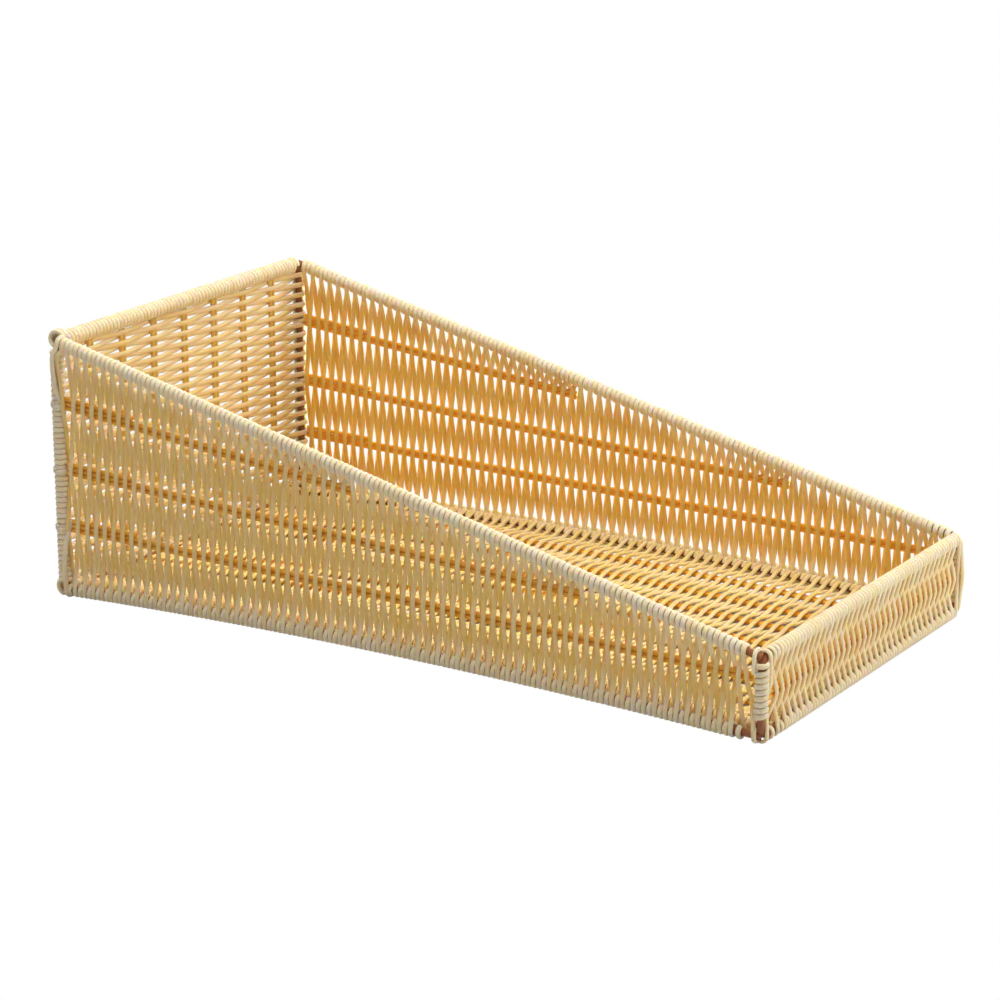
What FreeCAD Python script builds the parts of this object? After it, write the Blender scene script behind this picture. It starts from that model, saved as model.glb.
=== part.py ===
"""Sloped woven display basket: steel rod frame, cane stakes and woven plastic strands.

Millimetres. X runs across the basket, Y from the low front (-Y) to the high back (+Y),
and Z is up. The origin lies on the floor, under the middle of the basket.
"""
import FreeCAD
import Part

import math
import os
from collections import namedtuple

from FreeCAD import Vector

# Overall sizes
overall_length = 500.0          # outside, front edge to back edge
overall_width = 267.0           # outside, over the wrapped side walls
back_rim_height = 164.5         # floor to the axis of the back rim
front_rim_height = 50.5         # floor to the axis of the front rim
rail_rise = 6.0                 # how far the bottom side rails arch up at mid-length

# Steel rod frame
rod_diameter = 4.5
corner_radius = 6.0             # bend of the two end loops, at the axis of the rod
base_rod_diameter = 4.0         # the two side rods of the base
base_lift = 1.2                 # axis of the base frame above the bottom rails
straight_end = 6.0              # unbent length at each end of an arched bar

# Stakes that the strands are woven round, each of two canes side by side
stake_diameter = 2.8            # one cane
stake_gap = 0.15                # between the two canes
back_stake_count = 7
base_stake_count = 7
front_stake_height = 22.0       # above the axis of the front bottom rail
upper_stake_back = 120.0        # wall stakes, above the bottom rails, at the back end
middle_stake_back = 78.0
lower_stake_back = 41.0
upper_stake_front = 71.0        # the same stakes carried on to the front end
middle_stake_front = 57.0
lower_stake_front = 34.0
stake_end_room = 2.6            # between a strand's turns where a wall stake stops under the rim

# Woven strands, flat in section
strand_width = 3.0
strand_thickness = 2.6
strand_gap = 0.44               # least clear gap between neighbouring strands
wrap_clearance = 0.15           # between a strand and the rod or stake that it goes round
wrap_turn = 255.0               # degrees that a strand's end goes round its rod
floor_flat = 0.5                # depth of the worn flat under the wraps that the basket stands on

# Windings of round cane on the back rails and the front posts
rim_cane_diameter = 2.9
post_cane_diameter = 2.2
winding_gap = 0.5               # least clear gap between turns
rail_winding_count = 3          # lengths of cane, end to end, along a back rail
bare_post = 3.0                 # bare rod between a front post's bends and its winding
seat_gap = 0.3                  # between pieces that lie against each other

rod_radius = rod_diameter / 2
base_rod_radius = base_rod_diameter / 2
stake_radius = stake_diameter / 2
stake_step = stake_diameter + stake_gap
half_strand = strand_width / 2
strand_pitch = strand_width + strand_gap

wrap_radius = rod_radius + wrap_clearance + strand_thickness / 2
wrap_outer = wrap_radius + strand_thickness / 2
base_wrap_radius = base_rod_radius + wrap_clearance + strand_thickness / 2
base_wrap_outer = base_wrap_radius + strand_thickness / 2
weave_radius = stake_radius + wrap_clearance + strand_thickness / 2
rim_winding_outer = rod_radius + wrap_clearance + rim_cane_diameter
post_winding_outer = rod_radius + wrap_clearance + post_cane_diameter
edge_outer = max(wrap_outer, post_winding_outer)

front_y = -overall_length / 2 + edge_outer
back_y = overall_length / 2 - rim_winding_outer
frame_length = back_y - front_y
front_rail_height = wrap_outer - floor_flat
back_rail_height = rim_winding_outer - floor_flat

# A wall strand lies at half the rims' slope, so its wraps stand off the rim and the rail alike
strand_slope = (back_rim_height - front_rim_height) / frame_length / 2
wall_wrap_radius = wrap_radius + half_strand * strand_slope
wall_wrap_outer = wall_wrap_radius + strand_thickness / 2
half_width = overall_width / 2 - max(edge_outer, wall_wrap_outer)

wall_stakes = {
    "lower": (lower_stake_front, lower_stake_back),
    "middle": (middle_stake_front, middle_stake_back),
    "upper": (upper_stake_front, upper_stake_back),
}

X_AXIS = Vector(1, 0, 0)
Y_AXIS = Vector(0, 1, 0)
Z_AXIS = Vector(0, 0, 1)
Turn = namedtuple("Turn", "u v radius side")

floor_block = Part.makeBox(
    2 * overall_width, 2 * overall_length, overall_length,
    Vector(-overall_width, -overall_length, -overall_length),
)


def along_frame(y):
    """Share of the way from the front loop to the back loop."""
    return (y - front_y) / frame_length


def rim_height(y):
    """Height of the sloping side rims' axis."""
    return front_rim_height + (back_rim_height - front_rim_height) * along_frame(y)


def rail_height(y):
    """Height of the bottom side rails' axis, a shallow arch between the end loops."""
    t = along_frame(y)
    chord = front_rail_height + (back_rail_height - front_rail_height) * t
    return chord + 4 * rail_rise * t * (1 - t)


def base_height(y):
    """Height of the axis of the base frame and of its stakes."""
    return rail_height(y) + base_lift


def stake_height(name, y):
    """Height of a wall stake's axis above the floor."""
    at_front, at_back = wall_stakes[name]
    t = along_frame(y)
    straight_rail = front_rail_height + (back_rail_height - front_rail_height) * t
    return straight_rail + at_front + (at_back - at_front) * t


def spaced(first, last, pitch):
    """Even places from first to last, at least one pitch apart."""
    steps = int((last - first) / pitch)
    return [first + (last - first) * i / steps for i in range(steps + 1)]


def line(a, b):
    return Part.LineSegment(a, b).toShape()


def arc(a, middle, b):
    return Part.Arc(a, middle, b).toShape()


def round_sweep(edges, start, heading, diameter):
    """A round bar of the given diameter along joined edges."""
    section = Part.Wire([Part.Circle(start, heading, diameter / 2).toShape()])
    return Part.Wire(edges).makePipeShell([section], True, False)


def straight_bar(a, b, diameter):
    return Part.makeCylinder(diameter / 2, (b - a).Length, a, b - a)


def straight_stake(a, b, across):
    """The two canes of a stake, either side of the line from a to b."""
    half_step = across * (stake_step / 2)
    return Part.Compound([straight_bar(a + s, b + s, stake_diameter) for s in (-half_step, half_step)])


def arched_bar(x, y_start, y_end, height, diameter):
    """A bar along Y at a fixed X, bent to the arch that height(y) gives, with straight ends."""
    places = (y_start + straight_end, (y_start + y_end) / 2, y_end - straight_end)
    a, m, b = [Vector(x, y, height(y)) for y in places]
    bend = arc(a, m, b)
    leaving = bend.tangentAt(bend.FirstParameter)
    arriving = bend.tangentAt(bend.LastParameter)
    start = a - leaving * straight_end
    end = b + arriving * straight_end
    return round_sweep([line(start, a), bend, line(b, end)], start, leaving, diameter)


def end_loop(y, low, high):
    """A closed rod loop in an X-Z plane, with bent corners."""
    bend = corner_radius * (1 - math.sqrt(0.5))
    edges = []
    corners = [
        (half_width, low, 1, -1), (half_width, high, 1, 1),
        (-half_width, high, -1, 1), (-half_width, low, -1, -1),
    ]
    points = []
    for x, z, sx, sz in corners:
        flat_end = Vector(x - sx * corner_radius, y, z)
        post_end = Vector(x, y, z - sz * corner_radius)
        middle = Vector(x - sx * bend, y, z - sz * bend)
        start, end = (flat_end, post_end) if sx * sz < 0 else (post_end, flat_end)
        points.append((start, middle, end))
    for i, (start, middle, end) in enumerate(points):
        following = points[(i + 1) % len(points)][0]
        edges += [arc(start, middle, end), line(end, following)]
    return round_sweep(edges, points[0][0], X_AXIS, rod_diameter)


def welded(bar, *carriers):
    """The bar with its ends shaped to the rods that it is welded to."""
    for carrier in carriers:
        bar = bar.cut(carrier)
    return max(bar.Solids, key=lambda solid: solid.Volume)


def on_floor(shape):
    """The shape with what lies under the floor worn flat."""
    if shape.BoundBox.ZMin < 0:
        shape = shape.cut(floor_block)
    return shape.Solids[0]


def strand_side(turns, offset, place):
    """Edges of one long side of a strand that is pulled taut round its turns."""
    headings = []
    for a, b in zip(turns, turns[1:]):
        run = math.hypot(b.u - a.u, b.v - a.v)
        lean = math.asin((a.side * a.radius - b.side * b.radius) / run)
        headings.append(math.atan2(b.v - a.v, b.u - a.u) + lean)
    wrap = math.radians(wrap_turn)
    arcs = []
    for i, turn in enumerate(turns):
        quarter = turn.side * math.pi / 2
        start = headings[i - 1] - quarter if i else headings[0] - quarter - turn.side * wrap
        last = i == len(turns) - 1
        end = start + turn.side * wrap if last else headings[i] - quarter
        radius = turn.radius - turn.side * offset
        arcs.append([
            place(turn.u + radius * math.cos(angle), turn.v + radius * math.sin(angle))
            for angle in (start, (start + end) / 2, end)
        ])
    edges = []
    for i, points in enumerate(arcs):
        if i:
            edges.append(line(arcs[i - 1][2], points[0]))
        edges.append(arc(*points))
    return edges, arcs[0][0], arcs[-1][2]


def woven_strand(turns, origin, outward, along, sideways):
    """A flat strand round its turns, given in the plane of outward (u) and along (v)."""
    def place(u, v):
        return origin + outward * u + along * v - sideways * half_strand

    left, left_start, left_end = strand_side(turns, strand_thickness / 2, place)
    right, right_start, right_end = strand_side(turns, -strand_thickness / 2, place)
    edges = left + [line(left_end, right_end)] + right[::-1] + [line(right_start, left_start)]
    return Part.Face(Part.Wire(edges)).extrude(sideways * strand_width)


def weave_turns(crossings, first_wrap, last_wrap, index):
    """Turns of one strand: a wrap, then in and out of the stakes' canes, then a wrap."""
    half_step = stake_step / 2
    stops = [[(u, v + s, weave_radius) for s in (-half_step, half_step)] for u, v in crossings]
    return [
        Turn(u, v, radius, 1 if (index + level) % 2 else -1)
        for level, stop in enumerate([[first_wrap]] + stops + [[last_wrap]])
        for u, v, radius in stop
    ]


def wall_strand_places():
    """Y of every side wall strand, clear of the front panel and of the back post's wraps."""
    first = front_y + edge_outer + seat_gap + half_strand
    last = back_y - wrap_outer - seat_gap - half_strand
    return spaced(first, last, strand_pitch)


def crossed_stakes(y):
    """Names of the wall stakes that a strand at y goes round, from the bottom up."""
    least_drop = wall_wrap_radius + weave_radius + stake_step / 2 + stake_end_room
    return [name for name in wall_stakes if rim_height(y) - stake_height(name, y) > least_drop]


def left_wall_strands():
    sideways = Vector(0, 1, strand_slope).normalize()
    strands = []
    for index, y in enumerate(wall_strand_places()):
        crossings = [(0, stake_height(name, y)) for name in crossed_stakes(y)]
        turns = weave_turns(
            crossings, (0, rail_height(y), wall_wrap_radius), (0, rim_height(y), wall_wrap_radius),
            index,
        )
        origin = Vector(-half_width, y, 0)
        strands.append(on_floor(woven_strand(turns, origin, -X_AXIS, Z_AXIS, sideways)))
    return strands


def left_wall_stakes():
    places = wall_strand_places()
    half_pitch = (places[1] - places[0]) / 2
    back_end = back_y - wrap_outer - seat_gap
    stakes = {}
    for name in wall_stakes:
        first = min(y for y in places if name in crossed_stakes(y))
        front_end = first - half_pitch
        if first == places[0]:
            front_end = front_y + post_winding_outer + seat_gap
        a, b = [Vector(-half_width, y, stake_height(name, y)) for y in (front_end, back_end)]
        stakes[name] = straight_stake(a, b, Z_AXIS)
    return stakes


def front_panel_strands():
    reach = half_width - edge_outer - seat_gap - half_strand
    strands = []
    for index, x in enumerate(spaced(-reach, reach, strand_pitch)):
        turns = weave_turns(
            [(0, front_rail_height + front_stake_height)],
            (0, front_rail_height, wrap_radius), (0, front_rim_height, wrap_radius), index,
        )
        strands.append(on_floor(woven_strand(turns, Vector(x, front_y, 0), -Y_AXIS, Z_AXIS, X_AXIS)))
    return strands


def front_panel_stake():
    reach = half_width - post_winding_outer - seat_gap
    z = front_rail_height + front_stake_height
    return straight_stake(Vector(-reach, front_y, z), Vector(reach, front_y, z), Z_AXIS)


def stake_places(reach, count):
    """X of stakes that share the width between two side rods evenly."""
    return [reach * (2 * (i + 1) / (count + 1) - 1) for i in range(count)]


def back_panel_strands():
    margin = rim_winding_outer + seat_gap + half_strand
    crossings = [(0, x) for x in stake_places(half_width, back_stake_count)]
    levels = spaced(back_rail_height + margin, back_rim_height - margin, strand_pitch)
    strands = []
    for index, z in enumerate(levels):
        turns = weave_turns(
            crossings, (0, -half_width, wrap_radius), (0, half_width, wrap_radius), index,
        )
        strands.append(woven_strand(turns, Vector(0, back_y, z), Y_AXIS, X_AXIS, Z_AXIS))
    return strands


def back_panel_stakes():
    low = back_rail_height + rim_winding_outer + seat_gap
    high = back_rim_height - rim_winding_outer - seat_gap
    return [
        straight_stake(Vector(x, back_y, low), Vector(x, back_y, high), X_AXIS)
        for x in stake_places(half_width, back_stake_count)
    ]


base_side_x = half_width - wall_wrap_outer - seat_gap - base_wrap_outer
base_front_y = front_y + wrap_outer + seat_gap + rod_radius
base_back_y = back_y - rim_winding_outer - seat_gap - rod_radius


def base_cross_rod(y):
    reach = base_side_x + base_rod_radius
    z = base_height(y)
    return straight_bar(Vector(-reach, y, z), Vector(reach, y, z), rod_diameter)


def base_long_bar(x, diameter, front_rod, back_rod):
    bar = arched_bar(x, base_front_y, base_back_y, base_height, diameter)
    return welded(bar, front_rod, back_rod)


def base_stake(x, front_rod, back_rod):
    places = (x - stake_step / 2, x + stake_step / 2)
    return Part.Compound([base_long_bar(place, stake_diameter, front_rod, back_rod) for place in places])


def base_strands():
    margin = rod_radius + seat_gap + half_strand
    places = spaced(base_front_y + margin, base_back_y - margin, strand_pitch)
    crossings = [(0, x) for x in stake_places(base_side_x, base_stake_count)]
    strands = []
    for index, y in enumerate(places):
        turns = weave_turns(
            crossings, (0, -base_side_x, base_wrap_radius), (0, base_side_x, base_wrap_radius), index,
        )
        strands.append(woven_strand(turns, Vector(0, y, base_height(y)), -Z_AXIS, X_AXIS, Y_AXIS))
    return strands


def biarc(p0, t0, p1, t1):
    """Two tangent arcs from p0, leaving along t0, to p1, arriving along t1."""
    chord = p1 - p0
    spread = 1 - t0.dot(t1)
    drive = chord.dot(t0 + t1)
    reach = (math.sqrt(drive ** 2 + 2 * spread * chord.dot(chord)) - drive) / (2 * spread)
    joint = (p0 + p1 + (t0 - t1) * reach) * 0.5
    edges = []
    for a, b, tangent in ((p0, joint, t0), (joint, p1, t1)):
        span = b - a
        along = tangent.dot(span) / span.Length
        rise = (tangent - span * (along / span.Length)).normalize()
        sagitta = span.Length / 2 * math.tan(math.acos(along) / 2)
        sign = 1 if a is p0 else -1
        middle = (a + b) * 0.5 + rise * (sign * sagitta)
        edges.append(arc(a, middle, b))
    return edges


def winding(start, axis, inward, cane_diameter, pitch, turns):
    """Round cane wound on a rod, from start along axis, with both ends on the inward side."""
    radius = rod_radius + wrap_clearance + cane_diameter / 2
    across = axis.cross(inward)
    rate = Vector(axis) * (pitch / (2 * math.pi))

    def at(angle):
        around = inward * math.cos(angle) + across * math.sin(angle)
        return start + rate * angle + around * radius

    def heading(angle):
        turning = across * math.cos(angle) - inward * math.sin(angle)
        return (rate + turning * radius).normalize()

    angles = [math.pi * i for i in range(int(2 * turns) + 1)]
    edges = [line(at(0) - heading(0) * cane_diameter, at(0))]
    for a, b in zip(angles, angles[1:]):
        edges += biarc(at(a), heading(a), at(b), heading(b))
    edges.append(line(at(angles[-1]), at(angles[-1]) + heading(angles[-1]) * cane_diameter))
    return round_sweep(edges, at(0) - heading(0) * cane_diameter, heading(0), cane_diameter), edges


def least_gap(edges, cane_diameter):
    """Least clear distance between turns, measured on points along the winding's axis."""
    points_per_arc = 6
    arcs_per_turn = 4
    turns_ahead = 3
    window = points_per_arc * arcs_per_turn * turns_ahead
    along_itself = 3 * cane_diameter
    points = []
    length = 0.0
    for edge in edges:
        span = edge.LastParameter - edge.FirstParameter
        for i in range(points_per_arc):
            share = i / points_per_arc
            points.append((length + edge.Length * share, edge.valueAt(edge.FirstParameter + span * share)))
        length += edge.Length
    nearest = min(
        (p - q).Length
        for i, (s, p) in enumerate(points)
        for (t, q) in points[i + 1:i + window] if t - s > along_itself
    )
    return nearest - cane_diameter


def rail_windings(y, z):
    """The windings along a back rail, end to end, one pitch apart."""
    reach = half_width - wall_wrap_outer - seat_gap - rim_cane_diameter / 2
    most = 2 * reach / (rim_cane_diameter + winding_gap)
    turns = int((most - rail_winding_count + 1) / rail_winding_count)
    pitch = 2 * reach / (rail_winding_count * (turns + 1) - 1)
    windings = []
    for i in range(rail_winding_count):
        start = Vector(-reach + i * (turns + 1) * pitch, y, z)
        solid, edges = winding(start, X_AXIS, -Y_AXIS, rim_cane_diameter, pitch, turns)
        print("rail winding: turns", turns, "least gap", round(least_gap(edges, rim_cane_diameter), 3))
        windings.append(on_floor(solid))
    return windings


def post_winding(x):
    low = front_rail_height + corner_radius + bare_post
    high = front_rim_height - corner_radius - bare_post
    pitch = max(strand_pitch, post_cane_diameter + winding_gap)
    turns = int(2 * (high - low) / pitch) / 2
    slack = (high - low - turns * pitch) / 2
    inward = X_AXIS * (1 if x > 0 else -1)
    start = Vector(x, front_y, low + slack)
    solid, edges = winding(start, Z_AXIS, inward, post_cane_diameter, pitch, turns)
    print("post winding: turns", turns, "least gap", round(least_gap(edges, post_cane_diameter), 3))
    return solid


def mirrored(shape):
    """The same piece for the other side of the basket."""
    return shape.mirror(Vector(0, 0, 0), X_AXIS)


def build():
    """Every piece of the basket, by name."""
    nodes = {}
    front_loop = end_loop(front_y, front_rail_height, front_rim_height)
    back_loop = end_loop(back_y, back_rail_height, back_rim_height)
    rim = straight_bar(
        Vector(-half_width, front_y, front_rim_height), Vector(-half_width, back_y, back_rim_height),
        rod_diameter,
    )
    rail = arched_bar(-half_width, front_y, back_y, rail_height, rod_diameter)
    nodes["front_loop"] = front_loop
    nodes["back_loop"] = back_loop
    nodes["left_rim_rod"] = welded(rim, front_loop, back_loop)
    nodes["left_bottom_rail"] = welded(rail, front_loop, back_loop)

    for name, stake in left_wall_stakes().items():
        nodes[f"left_wall_{name}_stake"] = stake
    nodes["left_wall_strands"] = Part.Compound(left_wall_strands())
    for name in [name for name in nodes if name.startswith("left_")]:
        nodes[name.replace("left_", "right_", 1)] = mirrored(nodes[name])

    nodes["front_panel_stake"] = front_panel_stake()
    nodes["front_panel_strands"] = Part.Compound(front_panel_strands())
    nodes["front_left_post_winding"] = post_winding(-half_width)
    nodes["front_right_post_winding"] = post_winding(half_width)

    for i, stake in enumerate(back_panel_stakes(), 1):
        nodes[f"back_panel_stake_{i}"] = stake
    nodes["back_panel_strands"] = Part.Compound(back_panel_strands())
    for i, solid in enumerate(rail_windings(back_y, back_rim_height), 1):
        nodes[f"back_rim_winding_{i}"] = solid
    for i, solid in enumerate(rail_windings(back_y, back_rail_height), 1):
        nodes[f"back_bottom_winding_{i}"] = solid

    front_rod = base_cross_rod(base_front_y)
    back_rod = base_cross_rod(base_back_y)
    nodes["base_front_rod"] = front_rod
    nodes["base_back_rod"] = back_rod
    nodes["base_left_rod"] = base_long_bar(-base_side_x, base_rod_diameter, front_rod, back_rod)
    nodes["base_right_rod"] = mirrored(nodes["base_left_rod"])
    for i, x in enumerate(stake_places(base_side_x, base_stake_count), 1):
        nodes[f"base_stake_{i}"] = base_stake(x, front_rod, back_rod)
    nodes["base_strands"] = Part.Compound(base_strands())
    return nodes


os.makedirs("parts", exist_ok=True)
for node_name, node_shape in build().items():
    node_shape.exportStep(f"parts/{node_name}.step")
    print(node_name, "solids", len(node_shape.Solids), "valid", node_shape.isValid())
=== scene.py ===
"""Looks of a sloped woven display basket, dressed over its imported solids.

Metres, in the frame of the solids: X runs across the basket, Y from the low front to the high
back, and Z is up.
"""

import logging
import math
import random
from abc import ABC, abstractmethod
from dataclasses import dataclass, field, replace
from enum import Enum
from typing import Any

import bpy
import numpy as np
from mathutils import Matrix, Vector

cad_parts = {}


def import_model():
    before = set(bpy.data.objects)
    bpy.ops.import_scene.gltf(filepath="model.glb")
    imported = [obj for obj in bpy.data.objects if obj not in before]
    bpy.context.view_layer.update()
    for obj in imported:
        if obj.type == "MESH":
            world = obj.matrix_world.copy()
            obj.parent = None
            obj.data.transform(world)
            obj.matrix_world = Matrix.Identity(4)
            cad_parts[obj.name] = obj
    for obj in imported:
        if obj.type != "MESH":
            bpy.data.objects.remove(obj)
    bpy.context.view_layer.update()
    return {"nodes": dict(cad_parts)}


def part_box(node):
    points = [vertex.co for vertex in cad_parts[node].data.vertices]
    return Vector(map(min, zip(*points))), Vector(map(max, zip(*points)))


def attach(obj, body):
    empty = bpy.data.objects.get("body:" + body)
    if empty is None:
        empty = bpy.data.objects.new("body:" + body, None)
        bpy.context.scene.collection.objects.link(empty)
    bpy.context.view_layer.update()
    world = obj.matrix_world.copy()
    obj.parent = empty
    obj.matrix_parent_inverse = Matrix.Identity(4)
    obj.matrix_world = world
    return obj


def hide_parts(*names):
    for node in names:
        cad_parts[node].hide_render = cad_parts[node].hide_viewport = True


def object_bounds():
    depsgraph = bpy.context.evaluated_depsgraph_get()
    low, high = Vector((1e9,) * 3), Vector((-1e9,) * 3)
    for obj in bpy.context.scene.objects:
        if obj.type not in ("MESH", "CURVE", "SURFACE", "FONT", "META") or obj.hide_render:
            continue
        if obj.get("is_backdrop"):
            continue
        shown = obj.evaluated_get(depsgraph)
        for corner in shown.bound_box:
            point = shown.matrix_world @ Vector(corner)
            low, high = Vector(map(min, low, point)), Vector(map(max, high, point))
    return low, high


# Short names of types
Tree = bpy.types.NodeTree
Socket = bpy.types.NodeSocket
Inputs = dict[str | int, Any]
Material = bpy.types.Material
Dice = random.Random
Pair = tuple[float, float]
Triple = tuple[float, float, float]
Route = list["Knot"]

LOG = logging.getLogger("basket")
MM = 0.001
BODY = "root"
WHITE = "#ffffff"

X_AXIS = Vector((1, 0, 0))
Y_AXIS = Vector((0, 1, 0))
Z_AXIS = Vector((0, 0, 1))

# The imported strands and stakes
PACKED_WIDTH = 3.0 * MM
PACKED_PITCH = 3.44 * MM
BACK_STAKES = 7
BASE_STAKES = 7
RAIL_WINDINGS = 3

# How a strand goes round what it is woven on
WRAP_TURN = math.radians(255)
WRAP_STEPS = 3
SEAT = 0.1 * MM
RUN_PULL = 0.16
LONG_RUN = 26.0 * MM
LONG_RUN_PULL = 0.18
MIDDLE_PULL = 0.18
HANDLE_PARTS = 3
QUARTERS = 4
QUARTER_TURN = math.pi / 2
SIDES_PER_QUARTER = 2
SMOOTH_ANGLE = math.radians(75)

# What the cane's finish reads of each point, and how it is set
PLACE = "strand_place"
TINT = "strand_tint"
PATTERN_START = 4.0
# How far a strand strays out or in from its middle before its painted light or painted shade is
# full
PAINTED_SHADE_REACH = 2.5 * MM

# The colour sockets of a Mix node
MIX_LOW = 6
MIX_HIGH = 7
MIX_RESULT = 2

# From sRGB to linear light
SRGB_FULL = 255
SRGB_KNEE = 0.04045
SRGB_SLOPE = 12.92
SRGB_OFFSET = 0.055
SRGB_POWER = 2.4


class Side(Enum):
    """A side of the basket, by the sign of its X."""

    LEFT = -1
    RIGHT = 1


class Lie(Enum):
    """Which way a flat cane lies in the frame of the curve that it follows."""

    FLAT = "flat"
    UPRIGHT = "upright"


class Twist(Enum):
    """How a cane's section is carried along its curve."""

    LEAST = "MINIMUM"
    UPRIGHT = "Z_UP"


def linear(hex_colour: str) -> tuple[float, float, float, float]:
    """Turns an sRGB hex value to a linear colour.

    Args:
        hex_colour: The colour, such as "#f0e0c0".

    Returns:
        Red, green, blue and a full alpha.
    """
    parts = [part / SRGB_FULL for part in bytes.fromhex(hex_colour[1:])]
    rgb = [
        c / SRGB_SLOPE if c <= SRGB_KNEE else ((c + SRGB_OFFSET) / (1 + SRGB_OFFSET)) ** SRGB_POWER
        for c in parts
    ]
    return (*rgb, 1.0)


def add_node(tree: Tree, kind: str, settings: Inputs, links: Inputs) -> bpy.types.Node:
    """Adds a node with its settings and links.

    Args:
        tree: The material's or world's node tree.
        kind: The node's type.
        settings: Values by the name or number of an input, or by the name of a property.
        links: Sockets by the name or number of the input that they feed.

    Returns:
        The new node.
    """
    node = tree.nodes.new(kind)
    for key, value in settings.items():
        if isinstance(key, int) or key in node.inputs:
            node.inputs[key].default_value = value
        else:
            setattr(node, key, value)
    for key, socket in links.items():
        tree.links.new(socket, node.inputs[key])
    return node


def new_material(name: str) -> tuple[Material, Tree]:
    """Adds a material with an empty node tree.

    Args:
        name: The material's name.

    Returns:
        The material and its tree.
    """
    material = bpy.data.materials.new(name)
    material.use_nodes = True
    material.node_tree.nodes.clear()
    return material, material.node_tree


def noise(tree: Tree, place: Socket, detail: float, scale: float = 1.0) -> Socket:
    """The value of a noise pattern at a place."""
    settings = {"Scale": scale, "Detail": detail}
    return add_node(tree, "ShaderNodeTexNoise", settings, {"Vector": place}).outputs["Fac"]


def stretched(tree: Tree, place: Socket, across: float, along: float) -> Socket:
    """A place on a cane, for a pattern of these sizes across and along it."""
    settings = {"Scale": (1 / across, 1 / across, 1 / along)}
    return add_node(tree, "ShaderNodeMapping", settings, {"Vector": place}).outputs["Vector"]


def blend(tree: Tree, share: Socket, low: str, high: str) -> Socket:
    """A colour between two hex values."""
    ends = {"data_type": "RGBA", MIX_LOW: linear(low), MIX_HIGH: linear(high)}
    return add_node(tree, "ShaderNodeMix", ends, {0: share}).outputs[MIX_RESULT]


def ranged(tree: Tree, value: Socket, limits: Pair) -> Socket:
    """A value from 0 to 1, brought between limits."""
    ends = {"To Min": limits[0], "To Max": limits[1]}
    return add_node(tree, "ShaderNodeMapRange", ends, {"Value": value}).outputs["Result"]


def bumped(tree: Tree, height: Socket, strength: float, distance: float) -> Socket:
    """The normal of a surface with this relief."""
    size = {"Strength": strength, "Distance": distance}
    return add_node(tree, "ShaderNodeBump", size, {"Height": height}).outputs["Normal"]


def calculate(tree: Tree, operation: str, *values: Socket | float, clamp: bool = False) -> Socket:
    """Adds a calculation on sockets and numbers.

    Args:
        tree: The material's or world's node tree.
        operation: What is done with the values.
        values: Sockets or plain numbers, in order.
        clamp: Whether the result is kept from 0 to 1.

    Returns:
        The result.
    """
    settings: Inputs = {"operation": operation, "use_clamp": clamp}
    settings |= {i: value for i, value in enumerate(values) if isinstance(value, float)}
    links = {i: value for i, value in enumerate(values) if not isinstance(value, float)}
    return add_node(tree, "ShaderNodeMath", settings, links).outputs["Value"]


def seen(tree: Tree) -> Socket:
    """Tells what is seen from what only gives light.

    Args:
        tree: The material's or world's node tree.

    Returns:
        1 for rays from the camera, a reflection or a clear piece, and 0 for all others.
    """
    path = add_node(tree, "ShaderNodeLightPath", {}, {})
    camera, glossy = path.outputs["Is Camera Ray"], path.outputs["Is Glossy Ray"]
    either = calculate(tree, "MAXIMUM", camera, glossy)
    return calculate(tree, "MAXIMUM", either, path.outputs["Is Transmission Ray"])


def surface(tree: Tree, settings: Inputs, links: Inputs) -> None:
    """Ends a material's tree in one shader with these settings and links."""
    shader = add_node(tree, "ShaderNodeBsdfPrincipled", settings, links)
    add_node(tree, "ShaderNodeOutputMaterial", {}, {"Surface": shader.outputs["BSDF"]})


@dataclass(frozen=True)
class CaneFinish:
    """Polyethylene cane, dyed cream in the mass and extruded.

    Light goes a millimetre or two into it, and blue goes the least far: a strand lit from the
    front is a greyish cream, and one with light behind it glows gold. Its colour holds painted
    light too: it is painted paler where it passes outside the stakes, a deeper gold as painted
    shade where it passes inside, and palest, as a painted sheen of the top light, where it goes
    over the rods. Its skin is half glossy, with faint lines along it from the die.
    """

    name: str = "extruded_polyethylene_cane"
    pale: str = "#fae9d2"
    deep: str = "#eecc74"
    roughness: Pair = (0.4, 0.52)
    refraction: float = 1.51
    gloss: float = 0.25
    depth: float = 1.6 * MM
    spread: Triple = (0.7, 1.0, 0.25)
    blotch: Pair = (4.0 * MM, 28.0 * MM)
    blotch_detail: float = 3.0
    blotch_weight: float = 0.6
    die_line: Pair = (0.5 * MM, 60.0 * MM)
    die_line_detail: float = 2.0
    die_line_strength: float = 0.5
    die_line_height: float = 0.04 * MM

    def material(self) -> Material:
        """Makes the material, which reads the strands' own place and tint.

        Returns:
            The finished material.
        """
        material, tree = new_material(self.name)
        attributes = [
            add_node(tree, "ShaderNodeAttribute", {"attribute_name": name}, {})
            for name in (PLACE, TINT)
        ]
        place, tint = attributes[0].outputs["Vector"], attributes[1].outputs["Fac"]
        blotch = noise(tree, stretched(tree, place, *self.blotch), self.blotch_detail)
        lines = noise(tree, stretched(tree, place, *self.die_line), self.die_line_detail)
        share = calculate(tree, "MULTIPLY_ADD", blotch, self.blotch_weight, -self.blotch_weight / 2)
        shade = calculate(tree, "ADD", share, tint, clamp=True)
        surface(
            tree,
            {
                "IOR": self.refraction,
                "Specular IOR Level": self.gloss,
                "Subsurface Weight": 1.0,
                "Subsurface Radius": self.spread,
                "Subsurface Scale": self.depth,
            },
            {
                "Base Color": blend(tree, shade, self.deep, self.pale),
                "Roughness": ranged(tree, blotch, self.roughness),
                "Normal": bumped(tree, lines, self.die_line_strength, self.die_line_height),
            },
        )
        return material


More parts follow.
